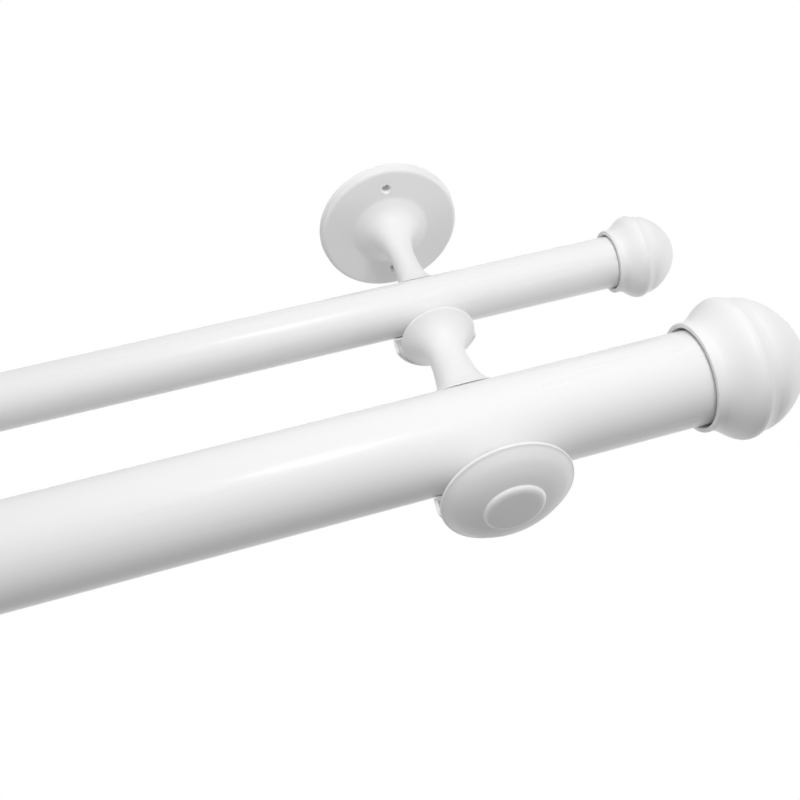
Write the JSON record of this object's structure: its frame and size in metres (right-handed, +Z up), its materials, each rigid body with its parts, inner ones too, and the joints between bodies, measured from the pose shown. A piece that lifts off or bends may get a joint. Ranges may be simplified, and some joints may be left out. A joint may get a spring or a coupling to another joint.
{
  "type": "double curtain pole",
  "caption": "Double curtain pole in white enamelled metal: thick front pole, thin rear pole, turned wall brackets with round roses, domed caps and ball finials.",
  "frame": {"origin": "on the wall plane, midway between the two brackets, at the height of the pole axes", "axes": "+X along the poles, -Y from the wall towards the room, +Z up; the wall is the plane Y = 0"},
  "size_m": [1.255, 0.1317, 0.0488],
  "materials": {
    "pole_enamel": "gloss white enamel on steel tube",
    "casting_enamel": "gloss white enamel on cast metal",
    "finial_enamel": "gloss white enamel on turned metal",
    "plug_plastic": "moulded, matt",
    "zinc_steel": "zinc plated"
  },
  "bodies": {
    "root": {"cap_studs": "zinc_steel", "extension_arm_left": "casting_enamel", "extension_arm_right": "casting_enamel", "front_cap_left": "casting_enamel", "front_cap_right": "casting_enamel", "front_finial_left": "finial_enamel", "front_finial_right": "finial_enamel", "front_plug_left": "plug_plastic", "front_plug_right": "plug_plastic", "front_pole": "pole_enamel", "grub_screws": "zinc_steel", "joining_studs": "zinc_steel", "rear_finial_left": "finial_enamel", "rear_finial_right": "finial_enamel", "rear_plug_left": "plug_plastic", "rear_plug_right": "plug_plastic", "rear_pole": "pole_enamel", "wall_bracket_left": "casting_enamel", "wall_bracket_right": "casting_enamel"}
  },
  "joints": []
}
